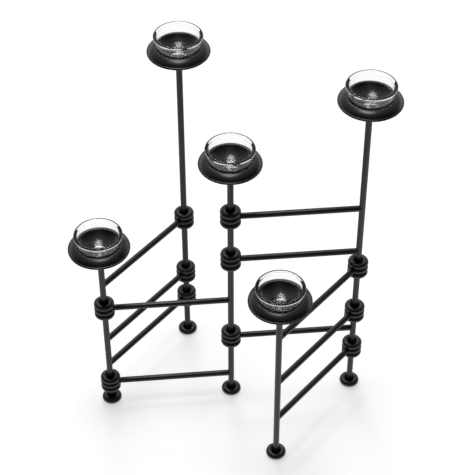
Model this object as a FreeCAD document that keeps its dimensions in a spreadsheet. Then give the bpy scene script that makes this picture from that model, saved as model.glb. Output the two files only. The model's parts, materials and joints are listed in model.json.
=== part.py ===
import FreeCAD, Part
import math
import operator
import os

import Sketcher

# A folding zigzag tealight stand. Five round steel posts stand on ring feet. Each post but the
# end one of each wing carries rungs that end in stacked-ring collars round the next post, so the
# four panels fold like a screen. Every post holds a pressed pan with a well, and a loose glass
# cup stands in the well. +Z is up and the origin is under the middle post's foot. Millimetres.

DRIVING = {
    "panel_pitch": 136.0,       # between the axes of neighbouring posts
    "fold_left": 46.9,          # angle inside the left-hand corner, at post b
    "fold_right": 45.4,         # angle inside the right-hand corner, at post d
    "rod_radius": 3.3,          # posts and rungs, over the coating
    "rim_tall": 404.5,          # height of the pan's rim on posts a and d
    "rim_b": 234.0,             # height of each other pan's rim
    "rim_c": 336.7,
    "rim_e": 237.0,
    "rung_ba_1": 179.5,         # height of each rung, named by the welded and the hinged post
    "rung_ba_2": 96.5,
    "rung_ba_3": 57.5,
    "rung_cb_1": 145.5,
    "rung_cb_2": 29.0,
    "rung_dc_1": 266.0,
    "rung_dc_2": 206.0,
    "rung_dc_3": 89.5,
    "rung_ed_1": 183.5,
    "rung_ed_2": 116.0,
    "rung_ed_3": 59.0,
    "ring_tube": 3.45,          # radius of the bar that a collar's rings are bent from
    "ring_play": 0.75,          # radial play of a collar on its post
    "ring_lap": 0.1,            # weld lap of one ring on the next
    "foot_tube": 3.5,           # radius of the foot ring's bar
    "foot_play": 0.6,
    "foot_flat": 0.2,           # depth of the flat ground under the foot
    "web_thickness": 1.2,       # plate inside the foot, under the post
    "rim_radius": 32.3,         # pan, over the rolled bead
    "bead_radius": 1.2,
    "pan_sheet": 1.2,
    "well_radius": 22.0,        # inner edge of the bend at the pan's mouth
    "well_sink": 5.2,           # lowest level of the well's bowl below the middle of the bead
    "mouth_bend": 0.6,          # inside bend radius where the well turns over into the brim
    "brim_start": 20.0,         # slope of the brim beside the well, degrees
    "brim_end": 57.0,           # slope of the brim at the bead, degrees
    "rivet_shank": 2.0,
    "rivet_depth": 7.5,         # length of shank inside the post
    "rivet_head": 5.5,
    "rivet_edge": 0.3,          # height of the head's upright edge
    "rivet_crown": 0.4,         # rise of the dome above that edge
    "rivet_play": 0.05,
    "rivet_land": 1.5,          # width of the flat round the rivet's head
    "cup_height": 23.8,
    "cup_radius": 25.3,         # over the rim bead
    "cup_bead": 1.9,
    "cup_neck": 65.0,           # where the outer wall leaves the bead, degrees below level
    "cup_lip": 30.0,            # where the inner wall leaves the bead, degrees below level
    "cup_inset": 1.5,           # from the crest of the pan's mouth in to the cup's wall
    "cup_seat": 0.3,            # clearance between the cup's bottom and the pan's bowl
    "cup_band": 1.7,            # upright part of the wall between the bottom and the flare
    "cup_wall": 1.8,
    "cup_floor": 2.2,
    "cup_heel": 4.0,            # outer bend between the round bottom and the wall
    "cup_inner_bend": 2.2,
    "punt_gap": 0.8,            # recess under the cup, round the rivet's head
    "punt_headroom": 0.1,       # more of it above the rivet's crown than the seat gives
    "punt_slope": 1.5,
}

POSTS = "abcde"
RUNGS = [name[len("rung_"):] for name in DRIVING if name.startswith("rung_")]
START, END, CENTRE = 1, 2, 3    # a sketch's numbers for the points of a line, arc or circle


class Size:
    """A number and the sheet formula that gives it."""

    def __init__(self, value, text):
        self.value = float(value)
        self.text = text

    def __add__(self, other):
        return joined(self, "+", other, operator.add)

    def __radd__(self, other):
        return joined(other, "+", self, operator.add)

    def __sub__(self, other):
        return joined(self, "-", other, operator.sub)

    def __rsub__(self, other):
        return joined(other, "-", self, operator.sub)

    def __mul__(self, other):
        return joined(self, "*", other, operator.mul)

    def __rmul__(self, other):
        return joined(other, "*", self, operator.mul)

    def __truediv__(self, other):
        return joined(self, "/", other, operator.truediv)


def as_size(term):
    return term if isinstance(term, Size) else Size(term, repr(term))


def joined(left, sign, right, work):
    left = as_size(left)
    right = as_size(right)
    return Size(work(left.value, right.value), "(%s %s %s)" % (left.text, sign, right.text))


def sine(angle):
    return Size(math.sin(math.radians(angle.value)), "sin(%s * 1 deg)" % angle.text)


def cosine(angle):
    return Size(math.cos(math.radians(angle.value)), "cos(%s * 1 deg)" % angle.text)


def root(term):
    return Size(math.sqrt(term.value), "sqrt(%s)" % term.text)


ZERO = Size(0, "0")
doc = FreeCAD.newDocument("tealight_stand")


def fill_sheet():
    sheet = doc.addObject("Spreadsheet::Sheet", "Sizes")
    sizes = {}
    for row, (name, value) in enumerate(DRIVING.items(), 1):
        sheet.set("A%d" % row, name)
        sheet.set("B%d" % row, str(value))
        sheet.setAlias("B%d" % row, name)
        sizes[name] = Size(value, "Sizes." + name)
    doc.recompute()
    return sizes


S = fill_sheet()


def worked_out(name, size):
    """A size that follows from others, kept in the sheet under a name of its own."""
    row = len(S) + 1
    doc.Sizes.set("A%d" % row, name)
    doc.Sizes.set("B%d" % row, "=" + size.text)
    doc.Sizes.setAlias("B%d" % row, name)
    doc.recompute()
    S[name] = Size(size.value, "Sizes." + name)
    return S[name]


def bind(thing, values):
    for name, size in values.items():
        thing.setExpression(name, size.text)


def primitive(kind, values, turn=None):
    thing = doc.addObject("Part::" + kind, kind.lower())
    if turn:
        thing.Placement = FreeCAD.Placement(FreeCAD.Vector(), turn)
    bind(thing, values)
    return thing


def plane(body, role):
    return next(item for item in body.Origin.OriginFeatures if item.Role == role)


class Outline:
    """A closed outline in a body's upright plane: radius across, height up, every point bound."""

    def __init__(self, body, radius, height):
        self.sketch = body.newObject("Sketcher::SketchObject", body.Name + "_outline")
        self.sketch.AttachmentSupport = [(plane(body, "XZ_Plane"), "")]
        self.sketch.MapMode = "FlatFace"
        self.first = (radius, height)
        self.here = self.first
        self.pieces = []

    def line(self, radius, height):
        start = FreeCAD.Vector(self.here[0].value, self.here[1].value)
        end = FreeCAD.Vector(radius.value, height.value)
        self.sketch.addGeometry(Part.LineSegment(start, end))
        self.pieces.append(((START, END), self.here, (radius, height)))
        self.here = (radius, height)

    def arc(self, centre, bend, radius, height, anticlockwise):
        middle = FreeCAD.Vector(centre[0].value, centre[1].value)
        angles = []
        for across, up in (self.here, (radius, height)):
            angles.append(math.atan2(up.value - middle.y, across.value - middle.x))
        if not anticlockwise:
            angles.reverse()
        circle = Part.Circle(middle, FreeCAD.Vector(0, 0, 1), bend.value)
        self.sketch.addGeometry(Part.ArcOfCircle(circle, angles[0], angles[1]))
        self.hold("Radius", (len(self.pieces),), bend)
        ends = (START, END) if anticlockwise else (END, START)
        self.pieces.append((ends, self.here, (radius, height)))
        self.here = (radius, height)

    def hold(self, kind, where, size):
        index = self.sketch.addConstraint(Sketcher.Constraint(kind, *where, size.value))
        self.sketch.setExpression("Constraints[%d]" % index, size.text)

    def close(self):
        if self.here != self.first:
            self.line(*self.first)
        count = len(self.pieces)
        for index, (ends, start, _) in enumerate(self.pieces):
            before = (index - 1) % count
            joint = (before, self.pieces[before][0][1], index, ends[0])
            self.sketch.addConstraint(Sketcher.Constraint("Coincident", *joint))
            for kind, axis, size in (("DistanceX", -2, start[0]), ("DistanceY", -1, start[1])):
                if size is ZERO:
                    on_axis = Sketcher.Constraint("PointOnObject", index, ends[0], axis)
                    self.sketch.addConstraint(on_axis)
                else:
                    self.hold(kind, (-1, START, index, ends[0]), size)
        return self.sketch


def revolve(body, sketch):
    turned = body.newObject("PartDesign::Revolution", body.Name + "_turned")
    turned.Profile = sketch
    turned.ReferenceAxis = (sketch, ["V_Axis"])
    turned.Angle = 360
    body.Tip = turned
    return body


def rounded_ring(body, centre, radius):
    sketch = body.newObject("Sketcher::SketchObject", body.Name + "_bead")
    sketch.AttachmentSupport = [(plane(body, "XZ_Plane"), "")]
    sketch.MapMode = "FlatFace"
    middle = FreeCAD.Vector(centre[0].value, centre[1].value)
    sketch.addGeometry(Part.Circle(middle, FreeCAD.Vector(0, 0, 1), radius.value))
    for kind, where, size in (("DistanceX", (-1, START, 0, CENTRE), centre[0]),
                              ("DistanceY", (-1, START, 0, CENTRE), centre[1]),
                              ("Radius", (0,), radius)):
        index = sketch.addConstraint(Sketcher.Constraint(kind, *where, size.value))
        sketch.setExpression("Constraints[%d]" % index, size.text)
    return revolve(body, sketch)


# Places of the posts, in plan. Posts b, c and d stand in line along X.
LEFT = math.radians(S["fold_left"].value)
RIGHT = math.radians(S["fold_right"].value)
PITCH = S["panel_pitch"].value
PLAN = {
    "a": (PITCH * math.cos(LEFT) - PITCH, PITCH * math.sin(LEFT)),
    "b": (-PITCH, 0.0),
    "c": (0.0, 0.0),
    "d": (PITCH, 0.0),
    "e": (PITCH - PITCH * math.cos(RIGHT), -PITCH * math.sin(RIGHT)),
}


def level_above_flat(bowl):
    """Height of a bowl's centre above the flat on its floor."""
    return root(bowl * bowl - WELL_FLAT * WELL_FLAT)


# Shared heights and radii that follow from the driving sizes.
RING_RADIUS = S["rod_radius"] + S["ring_play"] + S["ring_tube"]
RING_STEP = 2 * S["ring_tube"] - S["ring_lap"]
RIM = {"a": S["rim_tall"], "b": S["rim_b"], "c": S["rim_c"], "d": S["rim_tall"], "e": S["rim_e"]}

# The pan's section: a bowl that runs into the bend at the mouth, and an arched brim beyond it.
MOUTH_OUTER = S["mouth_bend"] + S["pan_sheet"]
MOUTH_RADIUS = S["well_radius"] + MOUTH_OUTER
BEAD_CENTRE = S["rim_radius"] - S["bead_radius"]
HALF_SHEET = S["pan_sheet"] / 2
SIN_START = sine(S["brim_start"])
COS_START = cosine(S["brim_start"])
SIN_END = sine(S["brim_end"])
COS_END = cosine(S["brim_end"])
BRIM_BEND = worked_out("brim_bend", (BEAD_CENTRE - MOUTH_RADIUS - MOUTH_OUTER * SIN_START
                                     + HALF_SHEET * SIN_END) / (SIN_END - SIN_START))
MOUTH_RISE = worked_out("mouth_rise", BRIM_BEND * (COS_START - COS_END) + HALF_SHEET * COS_END
                        - MOUTH_OUTER * COS_START)
MOUTH_ABOVE_BOWL = worked_out("mouth_above_bowl", S["well_sink"] + MOUTH_RISE)
BOWL_RADIUS = worked_out("bowl_radius", (MOUTH_RADIUS * MOUTH_RADIUS
                                         + MOUTH_ABOVE_BOWL * MOUTH_ABOVE_BOWL
                                         - MOUTH_OUTER * MOUTH_OUTER)
                         / (2 * (MOUTH_ABOVE_BOWL + MOUTH_OUTER)))
WELL_FLAT = S["rivet_head"] + S["rivet_land"]
BOWL_ABOVE_FLAT = worked_out("bowl_above_flat", level_above_flat(BOWL_RADIUS))
BOWL_CENTRE = S["pan_sheet"] + BOWL_ABOVE_FLAT
RIM_ABOVE_POST = worked_out("rim_above_post", BOWL_CENTRE + S["well_sink"] - BOWL_RADIUS)

# The cup's round bottom has the same centre as the pan's bowl.
CUP_BOTTOM = worked_out("cup_bottom", BOWL_RADIUS - S["cup_seat"])
CUP_CENTRE = worked_out("cup_centre", level_above_flat(CUP_BOTTOM))
CUP_INSIDE = worked_out("cup_inside", CUP_BOTTOM - S["cup_floor"])


def at_post(name, height):
    across, along = PLAN[name]
    return FreeCAD.Placement(FreeCAD.Vector(across, along, height.value), FreeCAD.Rotation())


def along_panel(pair, height):
    start = FreeCAD.Vector(*PLAN[pair[0]], height.value)
    end = FreeCAD.Vector(*PLAN[pair[1]], height.value)
    turn = FreeCAD.Rotation(FreeCAD.Vector(1, 0, 0), end - start)
    return FreeCAD.Placement(start, turn)


def make_post(name):
    """A plain rod from the foot's web to the pan, drilled on top for the rivet."""
    height = RIM[name] - RIM_ABOVE_POST - S["web_thickness"]
    bore_depth = S["rivet_depth"] + S["rivet_play"]
    rod = primitive("Cylinder", {"Radius": S["rod_radius"], "Height": height})
    bore = primitive("Cylinder", {"Radius": S["rivet_shank"] + S["rivet_play"],
                                  "Height": 2 * bore_depth,
                                  "Placement.Base.z": height - bore_depth})
    post = doc.addObject("Part::Cut", "post_" + name)
    post.Base = rod
    post.Tool = bore
    post.Placement = at_post(name, S["web_thickness"])
    return post


def make_foot(name):
    """A bent ring ground flat underneath, closed by a thin plate that the post stands on."""
    body = doc.addObject("PartDesign::Body", "foot_" + name)
    tube = S["foot_tube"]
    middle = S["rod_radius"] + S["foot_play"] + tube
    rise = tube - S["foot_flat"]
    flat_half = root(tube * tube - rise * rise)
    above = rise - S["web_thickness"]
    web_half = root(tube * tube - above * above)
    outline = Outline(body, ZERO, ZERO)
    outline.line(middle + flat_half, ZERO)
    outline.arc((middle, rise), tube, middle - web_half, S["web_thickness"], True)
    outline.line(ZERO, S["web_thickness"])
    revolve(body, outline.close())
    body.Placement = at_post(name, ZERO)
    return body


def make_pan(name):
    """A pressed hat: a bowl for the cup, a bent mouth and a brim that falls to a rolled bead."""
    body = doc.addObject("PartDesign::Body", "pan_" + name)
    sheet = S["pan_sheet"]
    bend_height = RIM_ABOVE_POST + MOUTH_RISE
    bend = (MOUTH_RADIUS, bend_height)
    bowl = (ZERO, BOWL_CENTRE)
    arch = (MOUTH_RADIUS + (MOUTH_OUTER - BRIM_BEND) * SIN_START,
            bend_height + (MOUTH_OUTER - BRIM_BEND) * COS_START)
    under = BOWL_RADIUS + sheet
    across = MOUTH_RADIUS / (BOWL_RADIUS + MOUTH_OUTER)
    up = (BOWL_CENTRE - bend_height) / (BOWL_RADIUS + MOUTH_OUTER)

    hole = S["rivet_shank"] + S["rivet_play"]
    outline = Outline(body, hole, ZERO)
    outline.line(root(under * under - BOWL_CENTRE * BOWL_CENTRE), ZERO)
    outline.arc(bowl, under,
                bend[0] - S["mouth_bend"] * across, bend[1] + S["mouth_bend"] * up, True)
    outline.arc(bend, S["mouth_bend"],
                bend[0] + S["mouth_bend"] * SIN_START, bend[1] + S["mouth_bend"] * COS_START, False)
    outline.arc(arch, BRIM_BEND - sheet, arch[0] + (BRIM_BEND - sheet) * SIN_END,
                arch[1] + (BRIM_BEND - sheet) * COS_END, False)
    outline.line(arch[0] + BRIM_BEND * SIN_END, arch[1] + BRIM_BEND * COS_END)
    outline.arc(arch, BRIM_BEND,
                arch[0] + BRIM_BEND * SIN_START, arch[1] + BRIM_BEND * COS_START, True)
    outline.arc(bend, MOUTH_OUTER,
                bend[0] - MOUTH_OUTER * across, bend[1] + MOUTH_OUTER * up, True)
    outline.arc(bowl, BOWL_RADIUS, WELL_FLAT, sheet, False)
    outline.line(hole, sheet)
    revolve(body, outline.close())
    rounded_ring(body, (BEAD_CENTRE, RIM_ABOVE_POST), S["bead_radius"])
    body.Placement = at_post(name, RIM[name] - RIM_ABOVE_POST)
    return body


def make_rivet(name):
    """A low domed rivet that holds the pan down on the post."""
    body = doc.addObject("PartDesign::Body", "rivet_" + name)
    head = S["rivet_head"]
    crown = S["rivet_crown"]
    dome = (head * head + crown * crown) / (2 * crown)
    seat = S["rivet_depth"] + S["pan_sheet"]
    edge = seat + S["rivet_edge"]
    outline = Outline(body, ZERO, ZERO)
    outline.line(S["rivet_shank"], ZERO)
    outline.line(S["rivet_shank"], seat)
    outline.line(head, seat)
    outline.line(head, edge)
    outline.arc((ZERO, edge + crown - dome), dome, ZERO, edge + crown, True)
    revolve(body, outline.close())
    body.Placement = at_post(name, RIM[name] - RIM_ABOVE_POST - S["rivet_depth"])
    return body


def bottom_corner(bottom, wall, bend):
    """The bend between a cup's round bottom and its wall: its centre, and its end on the bottom."""
    across = wall - bend
    drop = root((bottom - bend) * (bottom - bend) - across * across)
    stretch = bottom / (bottom - bend)
    return (across, CUP_CENTRE - drop), (across * stretch, CUP_CENTRE - drop * stretch)


def make_cup(name):
    """A thick glass cup: round bottom that lies in the pan's bowl, flared wall, round rim bead."""
    body = doc.addObject("PartDesign::Body", "glass_" + name)
    middle = (ZERO, CUP_CENTRE)
    outer = MOUTH_RADIUS - S["cup_inset"]
    inner = outer - S["cup_wall"]
    heel, heel_end = bottom_corner(CUP_BOTTOM, outer, S["cup_heel"])
    inside, inside_end = bottom_corner(CUP_INSIDE, inner, S["cup_inner_bend"])
    floor = CUP_CENTRE - level_above_flat(CUP_INSIDE)
    shoulder = heel[1] + S["cup_band"]
    bead = S["cup_bead"]
    rim = (S["cup_radius"] - bead, S["cup_height"] - bead)
    punt = S["rivet_head"] + S["punt_gap"]
    ceiling = S["rivet_edge"] + S["rivet_crown"] + S["punt_headroom"]

    outline = Outline(body, ZERO, ceiling)
    outline.line(punt - S["punt_slope"], ceiling)
    outline.line(punt, ZERO)
    outline.line(WELL_FLAT, ZERO)
    outline.arc(middle, CUP_BOTTOM, heel_end[0], heel_end[1], True)
    outline.arc(heel, S["cup_heel"], outer, heel[1], True)
    outline.line(outer, shoulder)
    outline.line(rim[0] + bead * cosine(S["cup_neck"]), rim[1] - bead * sine(S["cup_neck"]))
    outline.arc(rim, bead,
                rim[0] - bead * cosine(S["cup_lip"]), rim[1] - bead * sine(S["cup_lip"]), True)
    outline.line(inner, shoulder)
    outline.line(inner, inside[1])
    outline.arc(inside, S["cup_inner_bend"], inside_end[0], inside_end[1], False)
    outline.arc(middle, CUP_INSIDE, WELL_FLAT, floor, False)
    outline.line(ZERO, floor)
    revolve(body, outline.close())
    body.Placement = at_post(name, RIM[name] - RIM_ABOVE_POST + BOWL_CENTRE - CUP_CENTRE)
    return body


def make_rung(name):
    """A rod from the welded post to the collar's middle ring, coped to fit both."""
    rod = primitive("Cylinder", {"Radius": S["rod_radius"],
                                 "Height": S["panel_pitch"] - RING_RADIUS},
                    FreeCAD.Rotation(FreeCAD.Vector(0, 1, 0), 90))
    saddle = primitive("Cylinder", {"Radius": S["rod_radius"],
                                    "Height": 4 * S["rod_radius"],
                                    "Placement.Base.z": -2 * S["rod_radius"]})
    ring = primitive("Torus", {"Radius1": RING_RADIUS,
                               "Radius2": S["ring_tube"],
                               "Placement.Base.x": S["panel_pitch"]})
    copes = doc.addObject("Part::MultiFuse", "copes")
    copes.Shapes = [saddle, ring]
    rung = doc.addObject("Part::Cut", "rung_" + name)
    rung.Base = rod
    rung.Tool = copes
    rung.Placement = along_panel(name, S["rung_" + name])
    return rung


def make_collar(name):
    """Three bent rings, one on the other, that turn freely round the post inside them."""
    rings = []
    for step in (-1, 0, 1):
        rings.append(primitive("Torus", {"Radius1": RING_RADIUS,
                                         "Radius2": S["ring_tube"],
                                         "Placement.Base.z": step * RING_STEP}))
    collar = doc.addObject("Part::MultiFuse", "collar_" + name)
    collar.Shapes = rings
    collar.Placement = at_post(name[1], S["rung_" + name])
    return collar


def build_all():
    pieces = []
    for name in POSTS:
        for make in (make_post, make_foot, make_pan, make_rivet, make_cup):
            pieces.append(make(name))
    for name in RUNGS:
        pieces.append(make_rung(name))
        pieces.append(make_collar(name))
    doc.recompute()
    return pieces


def check(pieces):
    for thing in doc.Objects:
        if "Invalid" in thing.State or "Error" in thing.State:
            raise RuntimeError("%s did not build: %s" % (thing.Name, thing.State))
    for piece in pieces:
        if piece.Shape.isNull() or not piece.Shape.isValid() or len(piece.Shape.Solids) != 1:
            raise RuntimeError("%s is not one sound solid" % piece.Label)


PIECES = build_all()
check(PIECES)
os.makedirs("parts", exist_ok=True)
for piece in PIECES:
    piece.Shape.exportStep("parts/%s.step" % piece.Label)
print("%d pieces written" % len(PIECES))
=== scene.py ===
import json
import math

import bmesh
import bpy
from mathutils import Matrix, Vector


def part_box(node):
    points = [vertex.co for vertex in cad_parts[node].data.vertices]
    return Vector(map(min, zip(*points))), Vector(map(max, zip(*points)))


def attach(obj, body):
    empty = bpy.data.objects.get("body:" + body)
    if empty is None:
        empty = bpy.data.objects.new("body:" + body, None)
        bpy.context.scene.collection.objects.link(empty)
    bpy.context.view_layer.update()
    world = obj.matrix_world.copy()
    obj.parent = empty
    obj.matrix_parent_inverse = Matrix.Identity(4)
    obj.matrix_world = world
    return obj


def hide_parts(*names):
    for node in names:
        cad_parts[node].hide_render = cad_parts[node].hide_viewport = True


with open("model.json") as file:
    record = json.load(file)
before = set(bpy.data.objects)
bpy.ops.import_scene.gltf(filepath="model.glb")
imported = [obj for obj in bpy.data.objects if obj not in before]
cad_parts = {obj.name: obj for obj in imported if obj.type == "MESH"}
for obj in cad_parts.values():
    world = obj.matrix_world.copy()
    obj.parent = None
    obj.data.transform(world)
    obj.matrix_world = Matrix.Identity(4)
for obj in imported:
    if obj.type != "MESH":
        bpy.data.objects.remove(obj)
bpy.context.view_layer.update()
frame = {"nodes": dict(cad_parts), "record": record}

POSTS = "abcde"
SLOT_OF = {part["node"]: part["material_slot"] for part in frame["record"]["subparts"]}


# ---------------------------------------------------------------- shader maths

class Wire:
    """One socket of a shader, so that maths on it reads as an ordinary sum."""

    def __init__(self, shader, socket):
        self.shader = shader
        self.socket = socket

    def maths(self, operation, *terms):
        return self.shader.add("ShaderNodeMath", {"operation": operation}, dict(enumerate(terms)))

    def __add__(self, other):
        return self.maths("ADD", self, other)

    def __radd__(self, other):
        return self.maths("ADD", other, self)

    def __sub__(self, other):
        return self.maths("SUBTRACT", self, other)

    def __rsub__(self, other):
        return self.maths("SUBTRACT", other, self)

    def __mul__(self, other):
        return self.maths("MULTIPLY", self, other)

    def __rmul__(self, other):
        return self.maths("MULTIPLY", other, self)

    def __abs__(self):
        return self.maths("ABSOLUTE", self)

    def at_least(self, other):
        return self.maths("MAXIMUM", self, other)


# The Mix node repeats its sockets' names for each kind of value. These are the colour ones.
MIX_SHARE, MIX_LOW, MIX_HIGH, MIX_RESULT = 0, 6, 7, 2


class Shader:
    """A node tree with one way of adding a node: its type, its settings, then its sockets."""

    def __init__(self, owner):
        owner.use_nodes = True
        self.tree = owner.node_tree
        self.tree.nodes.clear()

    def add(self, kind, settings=None, sockets=None, output=0):
        node = self.tree.nodes.new(kind)
        for name, value in (settings or {}).items():
            if name == "stops":
                self.set_stops(node.color_ramp, value)
            else:
                setattr(node, name, value)
        for name, value in (sockets or {}).items():
            if isinstance(value, Wire):
                self.tree.links.new(value.socket, node.inputs[name])
            else:
                node.inputs[name].default_value = value
        return Wire(self, node.outputs[output]) if node.outputs else None

    def set_stops(self, ramp, stops):
        while len(ramp.elements) < len(stops):
            ramp.elements.new(0.5)
        for element, (place, tone) in zip(ramp.elements, stops):
            element.position = place
            element.color = grey(tone)

    def finish(self, kind, surface):
        self.add(kind, None, {"Surface": surface})

    def place(self):
        return self.add("ShaderNodeTexCoord", output="Object")

    def along(self, axis, vector):
        return self.add("ShaderNodeSeparateXYZ", None, {"Vector": vector}, axis)

    def ray(self, kind):
        """One where the ray that arrives is of a kind, such as Camera, and nought elsewhere."""
        return self.add("ShaderNodeLightPath", output="Is " + kind + " Ray")

    def noise(self, size, detail):
        """Noise with features about `size` metres across."""
        return self.add("ShaderNodeTexNoise", {"noise_dimensions": "3D"},
                        {"Vector": self.place(), "Scale": 1 / size, "Detail": detail})

    def bump(self, height, strength, depth):
        return self.add("ShaderNodeBump", None,
                        {"Strength": strength, "Distance": depth, "Height": height})

    def ramp(self, value, stops):
        return self.add("ShaderNodeValToRGB", {"stops": stops}, {"Fac": value})

    def mix(self, share, low, high):
        return self.add("ShaderNodeMix", {"data_type": "RGBA"},
                        {MIX_SHARE: share, MIX_LOW: low, MIX_HIGH: high}, MIX_RESULT)

    def glow(self, colour, strength=1.0):
        return self.add("ShaderNodeEmission", None, {"Color": colour, "Strength": strength})

    def blend(self, share, off, on):
        """One surface where the share is nought, another where it is one."""
        return self.add("ShaderNodeMixShader", None, {0: share, 1: off, 2: on})


def grey(level):
    return (level, level, level, 1)


# ---------------------------------------------------------------- finishes

STEEL = {"base": 0.008, "rough": 0.3, "peel": 0.2}
PAN = {"base": 0.005, "rough": 0.25, "peel": 0.1}
BASE_SPREAD = 0.2               # how far the black varies, as a share of itself
GLOSS_SPREAD = 0.06             # how far the roughness varies
PATCH_SIZE = 0.03               # metres, of the slow variation in black and gloss
PEEL_SIZE = 0.004               # metres, of the orange peel, and its depth
PEEL_DEPTH = 0.00002
DUST_SIZE = 0.003
DUST_SHARE = 0.04               # how much the thickest dust hides
DUST_GREY = 0.08
DUST_ROUGH = 0.05
DUST_LIES = ((0.6, 0), (1, 1))          # by how far the surface faces up
DUST_GATHERS = ((0.5, 0), (0.75, 1))    # by the noise that breaks it up
GLASS_ROUGH = 0.0
GLASS_IOR = 1.5
GLASS_SHINE = 0.4               # share of the glass's mirror light that is kept
GLASS_CLEAR = 0.95              # light left after each face that a shadow or mirrored ray crosses
WAVE_SIZE = 0.009               # metres, of the glass's waviness
WAVE_STRENGTH = 0.01
WAVE_DEPTH = 0.0003


def black_coating(name, base, rough, peel):
    """Glossy black coating on steel: faint orange peel, slightly uneven gloss, dust on top."""
    material = bpy.data.materials.new(name)
    shader = Shader(material)
    patches = shader.noise(PATCH_SIZE, 3)
    skin = shader.noise(PEEL_SIZE, 1)
    facing_up = shader.along("Z", shader.add("ShaderNodeNewGeometry", output="Normal"))
    dust = (shader.ramp(facing_up, DUST_LIES)
            * shader.ramp(shader.noise(DUST_SIZE, 4), DUST_GATHERS))
    black = shader.mix(patches, grey(base * (1 - BASE_SPREAD)), grey(base * (1 + BASE_SPREAD)))
    surface = shader.add("ShaderNodeBsdfPrincipled", None, {
        "Base Color": shader.mix(dust * DUST_SHARE, black, grey(DUST_GREY)),
        "Roughness": rough + (patches - 0.5) * GLOSS_SPREAD + dust * DUST_ROUGH,
        "Specular IOR Level": 0.5,
        "Normal": shader.bump(skin, peel, PEEL_DEPTH),
    })
    shader.finish("ShaderNodeOutputMaterial", surface)
    return material


def clear_glass():
    """Pressed clear glass, faintly wavy. Shadow rays and mirrored rays go straight through it."""
    material = bpy.data.materials.new("clear_glass_finish")
    shader = Shader(material)
    wave = shader.noise(WAVE_SIZE, 1)
    glass = shader.add("ShaderNodeBsdfPrincipled", None, {
        "Base Color": grey(1.0),
        "Roughness": GLASS_ROUGH,
        "IOR": GLASS_IOR,
        "Transmission Weight": 1.0,
        "Specular Tint": grey(GLASS_SHINE),
        "Normal": shader.bump(wave, WAVE_STRENGTH, WAVE_DEPTH),
    })
    straight = shader.add("ShaderNodeBsdfTransparent", None, {"Color": grey(GLASS_CLEAR)})
    skips_bending = shader.ray("Shadow").at_least(shader.ray("Reflection"))
    shader.finish("ShaderNodeOutputMaterial", shader.blend(skips_bending, glass, straight))
    return material


FINISHES = {
    "black_steel": black_coating("black_steel_finish", **STEEL),
    "black_pan": black_coating("black_pan_finish", **PAN),
    "clear_glass": clear_glass(),
}


def dress_nodes():
    for name, node in frame["nodes"].items():
        node.data.materials.clear()
        node.data.materials.append(FINISHES[SLOT_OF[name]])


# ---------------------------------------------------------------- glass cups

MM = 0.001
TURN_STEPS = 128                # round the axis
BALL_STEPS = 24                 # along each curve of the section
BEND_STEPS = 12
BEAD_STEPS = 32
SHARP_EDGE = math.radians(30)
WELD_GAP = 1e-6                 # metres

# The cup's section, as the CAD cup has it. Millimetres, and degrees below level.
CUP = {
    "height": 23.8,
    "radius": 25.3,             # over the rim bead
    "bead": 1.9,
    "neck": 65.0,               # where the outer wall leaves the bead
    "lip": 30.0,                # where the inner wall leaves the bead
    "body": 22.3,               # outside of the upright band
    "band": 1.7,                # height of that band
    "wall": 1.8,
    "floor": 2.2,
    "ball": 28.52,              # outside of the round bottom
    "flat": 7.0,                # outer edge of the flat ring under the bottom
    "heel": 4.0,                # outer bend between bottom and band
    "inner_bend": 2.2,
    "punt": 6.3,                # mouth of the recess under the bottom
    "punt_slope": 1.5,          # how much narrower it is at its top
    "punt_depth": 0.8,
}


class Outline:
    """Half the section of a turned piece, drawn point by point from the axis to the axis."""

    def __init__(self, radius, height):
        self.mesh = bmesh.new()
        self.tip = self.mesh.verts.new((radius * MM, 0, height * MM))

    def line(self, radius, height):
        move = Vector((radius * MM, 0, height * MM)) - self.tip.co
        made = bmesh.ops.extrude_vert_indiv(self.mesh, verts=[self.tip])
        self.tip = made["verts"][0]
        bmesh.ops.translate(self.mesh, verts=[self.tip], vec=move)

    def arc(self, centre, degrees, steps):
        """Turns the tip about a point; positive degrees go from level towards up."""
        made = bmesh.ops.spin(self.mesh, geom=[self.tip], cent=(centre[0] * MM, 0, centre[1] * MM),
                              axis=(0, -1, 0), angle=math.radians(degrees), steps=steps)
        self.tip = [item for item in made["geom_last"] if isinstance(item, bmesh.types.BMVert)][0]

    def turn(self, name, place):
        """Spins the section round the axis and stands it at a place."""
        mesh = self.mesh
        bmesh.ops.spin(mesh, geom=mesh.verts[:] + mesh.edges[:], cent=(0, 0, 0), axis=(0, 0, 1),
                       angle=2 * math.pi, steps=TURN_STEPS, use_merge=True)
        bmesh.ops.remove_doubles(mesh, verts=mesh.verts, dist=WELD_GAP)
        bmesh.ops.recalc_face_normals(mesh, faces=mesh.faces)
        bmesh.ops.translate(mesh, verts=mesh.verts, vec=place)
        data = bpy.data.meshes.new(name)
        mesh.to_mesh(data)
        mesh.free()
        data.polygons.foreach_set("use_smooth", [True] * len(data.polygons))
        data.set_sharp_from_angle(angle=SHARP_EDGE)
        piece = bpy.data.objects.new(name, data)
        bpy.context.collection.objects.link(piece)
        return piece


def bend_between(ball_centre, ball, wall, bend):
    """Centre height of the bend from a ball bottom to an upright wall, and its start angle."""
    across = wall - bend
    down = math.sqrt((ball - bend) ** 2 - across ** 2)
    return ball_centre - down, math.degrees(math.atan2(-down, across))


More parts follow.
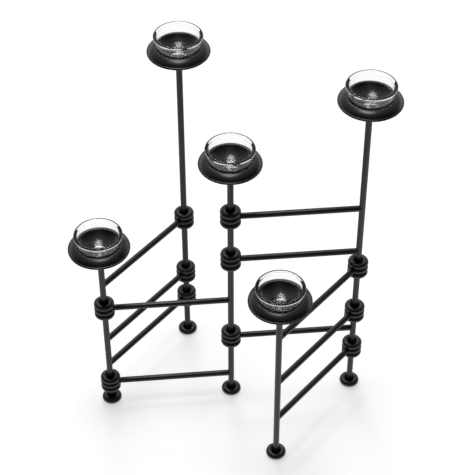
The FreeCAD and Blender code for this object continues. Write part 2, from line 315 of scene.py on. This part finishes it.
def make_cup(post):
    """A thick pressed cup: ball bottom, upright band, flared wall and round rim bead."""
    ball, body, bead, flat = CUP["ball"], CUP["body"], CUP["bead"], CUP["flat"]
    inner, inner_ball = body - CUP["wall"], ball - CUP["floor"]
    centre = math.sqrt(ball ** 2 - flat ** 2)
    start = math.degrees(math.atan2(-centre, flat))
    heel, heel_start = bend_between(centre, ball, body, CUP["heel"])
    bend, bend_start = bend_between(centre, inner_ball, inner, CUP["inner_bend"])
    floor = centre - math.sqrt(inner_ball ** 2 - flat ** 2)
    floor_start = math.degrees(math.atan2(floor - centre, flat))
    shoulder = heel + CUP["band"]
    rim = (CUP["radius"] - bead, CUP["height"] - bead)
    neck = math.radians(CUP["neck"])
    outline = Outline(0, CUP["punt_depth"])
    outline.line(CUP["punt"] - CUP["punt_slope"], CUP["punt_depth"])
    outline.line(CUP["punt"], 0)
    outline.line(flat, 0)
    outline.arc((0, centre), heel_start - start, BALL_STEPS)
    outline.arc((body - CUP["heel"], heel), -heel_start, BEND_STEPS)
    outline.line(body, shoulder)
    outline.line(rim[0] + bead * math.cos(neck), rim[1] - bead * math.sin(neck))
    outline.arc(rim, 180 + CUP["lip"] + CUP["neck"], BEAD_STEPS)
    outline.line(inner, shoulder)
    outline.line(inner, bend)
    outline.arc((inner - CUP["inner_bend"], bend), bend_start, BEND_STEPS)
    outline.arc((0, centre), floor_start - bend_start, BALL_STEPS)
    outline.line(0, floor)
    low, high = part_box("glass_" + post)
    piece = outline.turn("cup_" + post + "_glass",
                         ((low[0] + high[0]) / 2, (low[1] + high[1]) / 2, low[2]))
    piece.data.materials.append(FINISHES["clear_glass"])
    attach(piece, "cup_" + post)
    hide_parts("glass_" + post)


# ---------------------------------------------------------------- studio

FLOOR_HALF = 6.0                # metres
FLOOR_TONE = 0.85
FLOOR_GLOW = 0.5                # added for the eye alone, so that the floor looks white
PAINTED_GLOW_THROUGH_GLASS = ((-0.6, 0.1), (-0.4, 1.0))       # painted light: the floor's glow as glass sees it, by metres behind
# painted light: the floor's glow as mirrors see it, by metres behind
PAINTED_GLOW_IN_MIRRORS = ((-0.9, 0.3), (-0.5, 0.95), (-0.1, 0.95), (0.15, 0.5))
OVERHEAD_LIGHT = 0.5            # the room: level, gain towards the back, loss towards the sides
BACK_LIGHT = 0.45
SIDE_FALL = 0.4
FRONT_LIGHT = 0.03              # the least that it falls to
HORIZON = ((0.15, 1.0), (0.4, 0))       # bright band behind, by height
HORIZON_REACH = ((0.5, 0), (0.65, 1))   # and by how far back, half being level with the object
LAMP_AIM = Vector((-0.1, 0.15, 0.25))
LAMP_DISTANCE = 3.0
SHARP_SHARE = 0.25              # of a lamp's light, in the sharp mirrors of the glass
TOP_LAMP = {"lean": 1.0, "side": 1.1, "turn": 45.0, "radiance": 7.0}
BACK_LAMP = {"lean": 31.0, "side": 0.6, "turn": 45.0, "radiance": 10.0}
CAMERA_PLACE = (-0.09538, -1.10072, 1.25978)
CAMERA_PITCH = math.radians(47.2037)
CAMERA_TURN = math.radians(-5.3243)
CAMERA_LENS = 110.25
CAMERA_SENSOR = 36.0
CAMERA_REACH = 50.0             # metres


def floor_stops(tones):
    """Ramp stops for tones at distances along the floor, from a metre in front to one behind."""
    return tuple((0.5 + 0.5 * place, tone) for place, tone in tones)


def make_floor():
    """White floor that the object shades; for glass and for mirrors it has glows of its own,
    painted light that varies along the floor.
    """
    bpy.ops.mesh.primitive_plane_add(size=2 * FLOOR_HALF, location=(0, 0, 0))
    floor = bpy.context.active_object
    floor.name = "studio_floor"
    material = bpy.data.materials.new("studio_floor_finish")
    shader = Shader(material)
    plain = shader.add("ShaderNodeBsdfDiffuse", None, {"Color": grey(FLOOR_TONE)})
    behind = shader.along("Y", shader.place()) * 0.5 + 0.5
    # Painted light: for glass and mirror rays the floor glows, by where along it they land.
    painted_glow_in_glass = shader.glow(shader.ramp(behind, floor_stops(PAINTED_GLOW_THROUGH_GLASS)))
    painted_glow_in_mirrors = shader.glow(shader.ramp(behind, floor_stops(PAINTED_GLOW_IN_MIRRORS)))
    to_the_eye = shader.add("ShaderNodeAddShader", None,
                            {0: plain, 1: shader.glow(grey(1.0), FLOOR_GLOW)})
    surface = shader.blend(shader.ray("Glossy"), plain, painted_glow_in_mirrors)
    surface = shader.blend(shader.ray("Transmission"), surface, painted_glow_in_glass)
    surface = shader.blend(shader.ray("Camera"), surface, to_the_eye)
    shader.finish("ShaderNodeOutputMaterial", surface)
    floor.data.materials.append(material)


def make_world():
    """White straight on; as a light, a soft studio that is brightest behind and dark in front."""
    world = bpy.data.worlds.new("studio_world")
    bpy.context.scene.world = world
    shader = Shader(world)
    direction = shader.add("ShaderNodeTexCoord", output="Generated")
    across, back, height = (shader.along(axis, direction) for axis in "XYZ")
    room = OVERHEAD_LIGHT + back * BACK_LIGHT - abs(across) * SIDE_FALL
    horizon = shader.ramp(height, HORIZON) * shader.ramp(back * 0.5 + 0.5, HORIZON_REACH)
    level = room.at_least(horizon).at_least(FRONT_LIGHT)
    light = shader.mix(shader.ray("Camera"), level, grey(1.0))
    shader.finish("ShaderNodeOutputWorld",
                  shader.add("ShaderNodeBackground", None, {"Color": light}))


def make_lamp(name, lean, side, turn, radiance):
    """A square softbox that leans back from overhead and faces the object."""
    lamp = bpy.data.lights.new(name, "AREA")
    lamp.shape = "SQUARE"
    lamp.size = side
    lamp.energy = radiance * math.pi * side ** 2
    shader = Shader(lamp)
    colour = shader.mix(shader.ray("Singular"), grey(1), grey(SHARP_SHARE))
    shader.finish("ShaderNodeOutputLight", shader.glow(colour))
    holder = bpy.data.objects.new(name, lamp)
    bpy.context.collection.objects.link(holder)
    lean = math.radians(lean)
    holder.location = LAMP_AIM + LAMP_DISTANCE * Vector((0, math.sin(lean), math.cos(lean)))
    holder.rotation_euler = (Matrix.Rotation(-lean, 3, "X")
                             @ Matrix.Rotation(math.radians(turn), 3, "Z")).to_euler()
    holder.visible_camera = False
    holder.visible_transmission = False


def make_camera():
    data = bpy.data.cameras.new("camera")
    camera = bpy.data.objects.new("camera", data)
    bpy.context.collection.objects.link(camera)
    data.sensor_width = CAMERA_SENSOR
    data.lens = CAMERA_LENS
    data.clip_end = CAMERA_REACH
    camera.location = CAMERA_PLACE
    camera.rotation_euler = (CAMERA_PITCH, 0, CAMERA_TURN)
    bpy.context.scene.camera = camera


dress_nodes()
for post in POSTS:
    make_cup(post)
make_floor()
make_world()
make_lamp("top_softbox", **TOP_LAMP)
make_lamp("back_softbox", **BACK_LAMP)
make_camera()
bpy.context.scene.view_settings.view_transform = "Standard"
